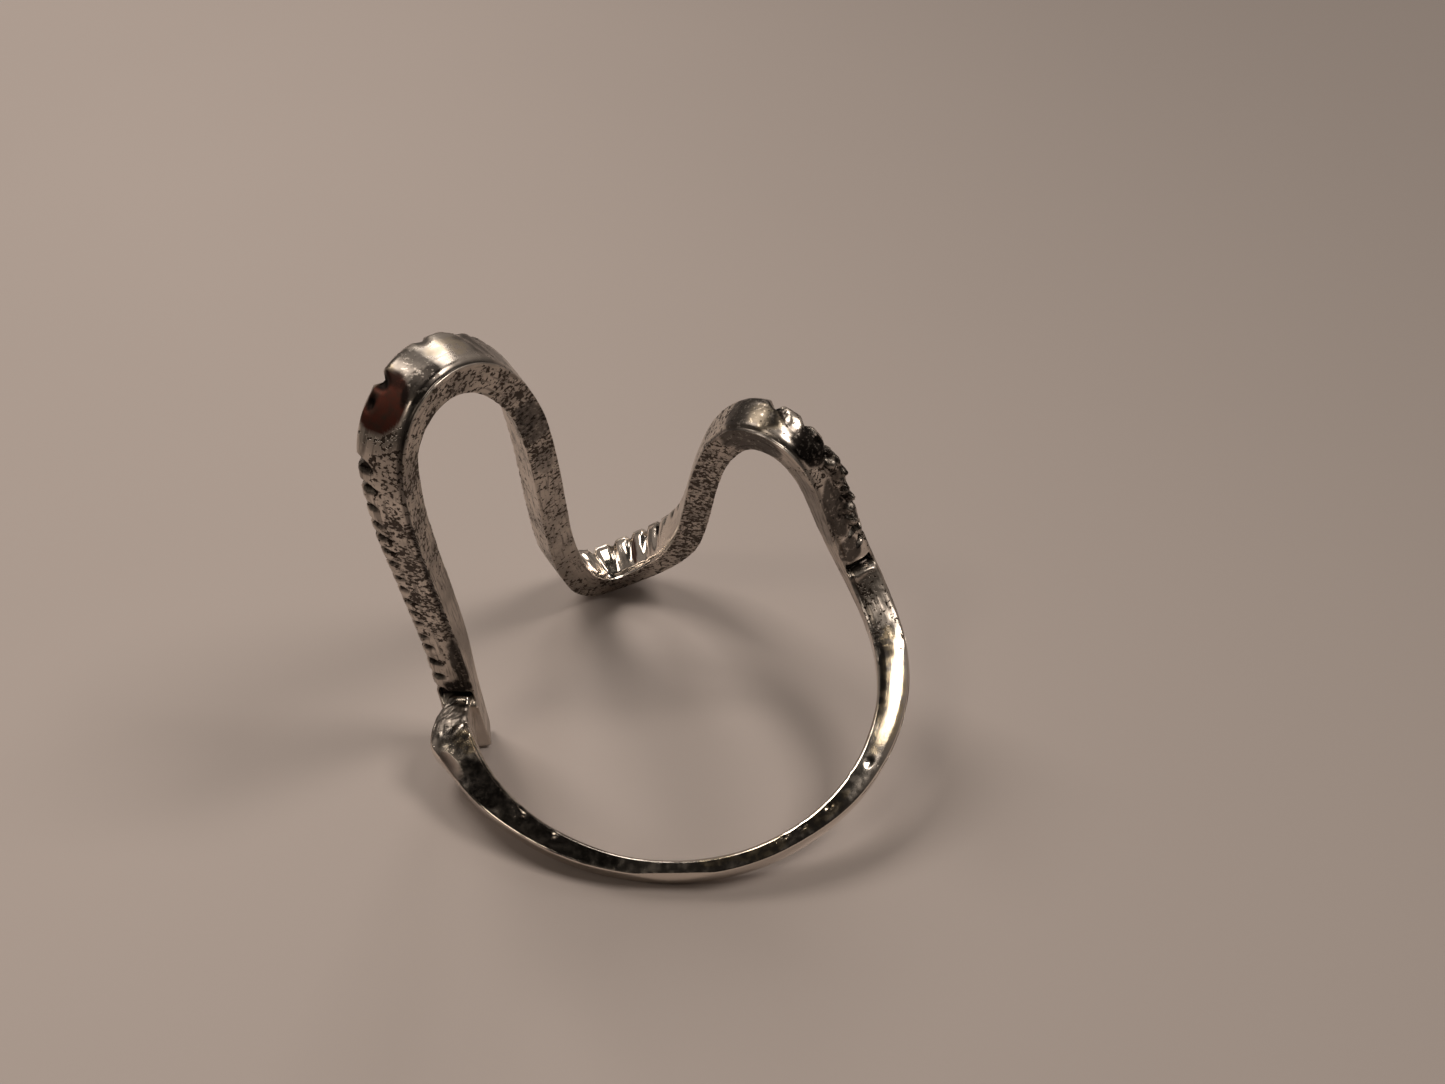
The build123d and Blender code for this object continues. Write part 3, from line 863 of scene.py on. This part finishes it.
class NodeBench:
    """Short calls that add and join the nodes of a tree."""

    def __init__(self, tree):
        self.tree = tree
        self.place = None

    def node(self, kind, **values):
        """A new node with values on its named sockets."""
        node = self.tree.nodes.new(kind)
        self.fill(node, **values)
        return node

    def fill(self, node, **values):
        """Puts values on a node's named sockets. An underscore stands for a blank in a name."""
        for name, value in values.items():
            self.feed(node.inputs[name.replace("_", " ")], value)

    def feed(self, socket, value):
        """Puts a number, a colour or another node's output on a socket."""
        if isinstance(value, bpy.types.NodeSocket):
            self.tree.links.new(value, socket)
        elif isinstance(value, (int, float)):
            socket.default_value = value
        else:
            socket.default_value = (*value, 1.0)

    def noise(self, scale, detail=3.0, roughness=0.5, distortion=0.0, place=None):
        """Noise on the piece's own coordinates."""
        grain = {"Scale": scale, "Detail": detail, "Roughness": roughness, "Distortion": distortion}
        return self.node("ShaderNodeTexNoise", Vector=place or self.place, **grain).outputs["Fac"]

    def mask(self, name, output="Fac"):
        """One of the piece's own attributes."""
        node = self.node("ShaderNodeAttribute")
        node.attribute_name = name
        return node.outputs[output]

    def drawn_out(self, name, stretch):
        """A piece's own lay, drawn out along its first axis."""
        node = self.node("ShaderNodeMapping", Vector=self.mask(name, "Vector"))
        node.inputs["Scale"].default_value = (1 / stretch, 1, 1)
        return node.outputs["Vector"]

    def span(self, value, low, high, to_low=0.0, to_high=1.0):
        """Maps a stretch of values onto another, clamped and soft."""
        ends = {"From_Min": low, "From_Max": high, "To_Min": to_low, "To_Max": to_high}
        node = self.node("ShaderNodeMapRange", Value=value, **ends)
        node.interpolation_type = "SMOOTHSTEP"
        return node.outputs["Result"]

    def math(self, kind, first, second):
        """One sum of two values."""
        node = self.node("ShaderNodeMath")
        node.operation = kind
        self.feed(node.inputs[0], first)
        self.feed(node.inputs[1], second)
        return node.outputs[0]

    plus, times = partialmethod(math, "ADD"), partialmethod(math, "MULTIPLY")
    least, most = partialmethod(math, "MINIMUM"), partialmethod(math, "MAXIMUM")

    def blend(self, share, first, second):
        """A colour between two."""
        node = self.node("ShaderNodeMix")
        node.data_type = "RGBA"
        self.feed(node.inputs["Factor"], share)
        self.feed(node.inputs[6], first)
        self.feed(node.inputs[7], second)
        return node.outputs[2]

    def bump(self, height, distance, strength=1.0, below=None):
        """A normal from a height, on the normal below it."""
        node = self.node("ShaderNodeBump", Height=height, Distance=distance, Strength=strength)
        if below is not None:
            self.feed(node.inputs["Normal"], below)
        return node.outputs["Normal"]


# Scales of the silver's patterns, in grains per metre, and how far its streaks are drawn out
SPECKLE_SCALE = 5600.0
BLOTCH_SCALE = 2600.0
CLOUD_SCALE = 620.0
STREAK_SCALE = 6500.0
STREAK_STRETCH = 9.0


def surface(name):
    """A new material, the bench of its nodes and its shader."""
    material = bpy.data.materials.new(name)
    material.use_nodes = True
    bench = NodeBench(material.node_tree)
    bench.tree.nodes.clear()
    output = bench.node("ShaderNodeOutputMaterial")
    shader = bench.node("ShaderNodeBsdfPrincipled")
    bench.fill(output, Surface=shader.outputs["BSDF"])
    bench.place = bench.node("ShaderNodeTexCoord").outputs["Object"]
    return material, bench, shader


def worn_silver(colours):
    """Cast silver: pitted and dark on the bar, rubbed smooth on the crests and the shank."""
    material, bench, shader = surface("worn_silver")
    names = ("pitting", "polish", "tarnish_and_dark_reflection", "hollow", "seam", "inner", "copper")
    pitting, polish, tarnish_and_dark_reflection, hollow, seam, inner, copper = map(bench.mask, names)
    speckle = bench.noise(SPECKLE_SCALE, 2.0, 0.6)
    coarse = bench.noise(BLOTCH_SCALE, 2.0, 0.5)
    cloud = bench.noise(CLOUD_SCALE, 3.0, 0.5, 0.2)
    streak = bench.noise(STREAK_SCALE, 2.0, 0.5, 0.2, bench.drawn_out("lay", STREAK_STRETCH))
    spots = bench.plus(bench.times(speckle, 0.68), bench.times(coarse, 0.32))
    patchy = bench.plus(pitting, bench.span(cloud, 0.3, 0.7, -0.16, 0.16))
    patchy = bench.least(patchy, bench.times(pitting, 8.0))
    shore = bench.span(patchy, 0.0, 1.0, 0.7, 0.475)
    pits = bench.span(bench.math("SUBTRACT", spots, shore), -0.022, 0.026)
    worn_away = bench.span(polish, 0.1, 0.7, 1.0, 0.0)
    lines = bench.times(bench.span(streak, 0.48, 0.66), bench.times(worn_away, 0.58))
    haze = bench.times(bench.span(cloud, 0.38, 0.66), bench.times(worn_away, 0.42))
    worn = bench.most(bench.times(pits, 0.95), bench.most(lines, haze))
    # Black patches darken partly as tarnish and partly as painted dark reflection; with the oxide in the
    # hollows, the painted shade in the joint grooves and the dark seam they go to the oxide colour
    mottled_tarnish_and_reflection = bench.times(tarnish_and_dark_reflection, bench.span(spots, 0.36, 0.46, 0.6, 1.0))
    oxide_and_painted_dark = bench.most(mottled_tarnish_and_reflection, bench.most(hollow, seam))
    film = bench.plus(bench.times(inner, 0.15), bench.times(worn_away, 0.3))
    metal = bench.blend(film, colours.bright, colours.film)
    colour = bench.blend(worn, metal, colours.brown_oxide)
    tarnish = bench.times(bench.mask("straw"), bench.span(coarse, 0.32, 0.52))
    colour = bench.blend(bench.times(tarnish, 0.8), colour, colours.straw)
    stain = bench.blend(bench.span(coarse, 0.3, 0.9), colours.copper, colours.brown_oxide)
    colour = bench.blend(copper, colour, stain)
    colour = bench.blend(bench.times(oxide_and_painted_dark, 0.97), colour, colours.oxide)
    matt = bench.span(polish, 0.1, 1.0, 0.4, 0.15)
    matt = bench.plus(matt, bench.times(pits, 0.14))
    matt = bench.plus(matt, bench.times(copper, 0.3))
    matt = bench.plus(matt, bench.span(coarse, 0.35, 0.7, -0.02, 0.05))
    flat = bench.span(polish, 0.3, 0.62, 1.0, 0.14)
    fine = bench.bump(bench.times(pits, -1.0), 0.028 * MM, 0.8)
    combed = bench.bump(bench.times(streak, flat), 0.025 * MM, 0.6, fine)
    dents = bench.bump(bench.times(coarse, flat), 0.02 * MM, 0.5, combed)
    bench.fill(shader, Base_Color=colour, Metallic=1.0, Roughness=matt, Normal=dents)
    return material


# The card: its patterns' scales per metre, its deeper shade, the painted light falloff towards its far right,
# and where that sets in
CARD_CLOUD_SCALE = 14.0
CARD_GRAIN_SCALE = 900.0
CARD_DEEPER = 0.95
CARD_FAR_RIGHT = 0.66
FAR_RIGHT_START, FAR_RIGHT_END = -0.03, 0.09


def floor_card(colour):
    """Pale matt card, with painted light falloff: darker towards the far right."""
    material, bench, shader = surface("pale_card")
    shade = bench.span(bench.noise(CARD_CLOUD_SCALE, 3.0, 0.5, 0.0), 0.3, 0.7)
    deeper = tuple(part * CARD_DEEPER for part in colour)
    # Painted light falloff: the card darkens towards the far right
    painted_falloff = tuple(part * CARD_FAR_RIGHT for part in colour)
    sides = bench.node("ShaderNodeSeparateXYZ", Vector=bench.place)
    far_right = bench.plus(sides.outputs["X"], bench.times(sides.outputs["Y"], 0.35))
    far_right = bench.span(far_right, FAR_RIGHT_START, FAR_RIGHT_END)
    card = bench.blend(far_right, bench.blend(shade, colour, deeper), painted_falloff)
    grain = bench.bump(bench.noise(CARD_GRAIN_SCALE, 2.0), 0.05 * MM, 0.2)
    bench.fill(shader, Base_Color=card, Roughness=0.75, Normal=grain)
    return material


# The room's light by height, from the floor's edge to overhead, its tint, and how it dims on the near side
ROOM_LIGHT = ((0.0, 0.05), (0.25, 0.22), (0.6, 0.22), (0.82, 0.008))
ROOM_TINT = (1.0, 0.87, 0.77)
NEAR_SIDE_START, NEAR_SIDE_END = 0.1, -0.55
NEAR_SIDE_LIGHT = 0.1


def light_room(tree):
    """A dim warm room: lighter walls, dark above, at the floor's edge and on the near side."""
    bench = NodeBench(tree)
    sides = bench.node("ShaderNodeSeparateXYZ", Vector=bench.node("ShaderNodeTexCoord").outputs["Generated"])
    near = bench.span(sides.outputs["Y"], NEAR_SIDE_END, NEAR_SIDE_START, NEAR_SIDE_LIGHT)
    ramp = bench.node("ShaderNodeValToRGB", Fac=sides.outputs["Z"])
    elements = ramp.color_ramp.elements
    while len(elements) < len(ROOM_LIGHT):
        elements.new(0.5)
    for element, (place, light) in zip(elements, ROOM_LIGHT):
        element.position = place
        element.color = (*(light * part for part in ROOM_TINT), 1.0)
    shade = bench.node("ShaderNodeVectorMath")
    shade.operation = "SCALE"
    bench.fill(shade, Vector=ramp.outputs["Color"], Scale=near)
    bench.fill(tree.nodes["Background"], Color=shade.outputs["Vector"])


class RING_OT_waved_ring(bpy.types.Operator):
    """Builds the ring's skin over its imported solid"""

    bl_idname = "ring.waved_ring"
    bl_label = "Waved ring"

    def execute(self, context):
        skin = RingSkin(context.scene.ring_sizes)
        piece = grow_skin("waved_ring", skin.shape(), skin.masks, skin.lay)
        piece.data.materials.append(worn_silver(context.scene.ring_colours))
        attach(piece, "root")
        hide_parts("wave_ring")
        return {"FINISHED"}


# Soft lights. Place is from the ring's middle, size is the lamp's edge, and both are in metres.
Lamp = namedtuple("Lamp", "name place size watts colour")
LAMPS = [
    Lamp("right_lamp", (0.235, -0.03, 0.39), 0.15, 0.74, (1.0, 0.9, 0.8)),
    Lamp("left_lamp", (-0.12, 0.085, 0.22), 0.1, 0.28, (1.0, 0.9, 0.8)),
    Lamp("back_lamp", (0.01, 0.31, 0.37), 0.11, 0.16, (1.0, 0.92, 0.84)),
    Lamp("front_lamp", (-0.185, -0.19, 0.36), 0.08, 0.14, (1.0, 0.87, 0.72)),
]


RING_MIDDLE = Vector((0.0, 0.0, 0.008))
FLOOR_HALF_SIDE = 1.2

# The photograph's camera: where it is, which way it looks and which way its right-hand side is
CAMERA_PLACE = Vector((3.437, -64.814, 64.572)) * MM
CAMERA_FORWARD = Vector((-0.0082, 0.7703, -0.6376)).normalized()
CAMERA_RIGHT = Vector((0.9995, 0.0257, 0.0183))
CAMERA_FRAME = 36.0


def lay_floor(colour):
    """One sheet of card, far wider than the view."""
    shape = bmesh.new()
    bmesh.ops.create_grid(shape, x_segments=2, y_segments=2, size=FLOOR_HALF_SIDE)
    floor = add_shape("floor", shape)
    floor.data.materials.append(floor_card(colour))


def hang_lamps():
    """Square soft lamps that face the ring's middle."""
    for lamp in LAMPS:
        light = bpy.data.lights.new(lamp.name, "AREA")
        light.shape = "SQUARE"
        light.size = lamp.size
        light.energy = lamp.watts
        light.color = lamp.colour
        holder = add_object(lamp.name, light)
        holder.location = RING_MIDDLE + Vector(lamp.place)
        holder.rotation_euler = Vector(lamp.place).to_track_quat("Z", "Y").to_euler()


def place_camera(focal_length):
    """The camera at the photograph's angle."""
    camera = bpy.data.cameras.new("camera")
    camera.sensor_width = CAMERA_FRAME
    camera.lens = focal_length
    camera.clip_start = 1 * MM
    holder = add_object("camera", camera)
    right = (CAMERA_RIGHT - CAMERA_FORWARD * CAMERA_RIGHT.dot(CAMERA_FORWARD)).normalized()
    turn = Matrix((right, right.cross(CAMERA_FORWARD), -CAMERA_FORWARD)).transposed()
    holder.matrix_world = Matrix.Translation(CAMERA_PLACE) @ turn.to_4x4()
    bpy.context.scene.camera = holder


class RING_OT_studio(bpy.types.Operator):
    """Lays the floor and sets the lamps and the camera"""

    bl_idname = "ring.studio"
    bl_label = "Studio"

    def execute(self, context):
        stage = context.scene.ring_stage
        lay_floor(stage.floor_colour)
        hang_lamps()
        context.scene.world = bpy.data.worlds.new("dim_room")
        context.scene.world.use_nodes = True
        light_room(context.scene.world.node_tree)
        context.scene.view_settings.view_transform = "Standard"
        place_camera(stage.focal_length)
        return {"FINISHED"}


class RING_PT_panel(bpy.types.Panel):
    """Lists the ring's sizes and steps"""

    bl_label = "Waved ring"
    bl_idname = "RING_PT_panel"
    bl_space_type = "VIEW_3D"
    bl_region_type = "UI"
    bl_category = "Ring"

    def draw(self, context):
        for group in (getattr(context.scene, name) for name in GROUPS):
            for name in group.__annotations__:
                self.layout.prop(group, name)
        for operator in OPERATORS:
            self.layout.operator(operator.bl_idname)


GROUPS = {"ring_sizes": RingSizes, "ring_colours": SilverColours, "ring_stage": StageSettings}
OPERATORS = (RING_OT_waved_ring, RING_OT_studio)
CLASSES = (*GROUPS.values(), *OPERATORS, RING_PT_panel)


def register():
    for item in CLASSES:
        bpy.utils.register_class(item)
    for name, group in GROUPS.items():
        setattr(bpy.types.Scene, name, bpy.props.PointerProperty(type=group))


def unregister():
    for name in GROUPS:
        delattr(bpy.types.Scene, name)
    for item in reversed(CLASSES):
        bpy.utils.unregister_class(item)


def main():
    register()
    bpy.ops.ring.waved_ring()
    bpy.ops.ring.studio()


if __name__ == "__main__":
    main()
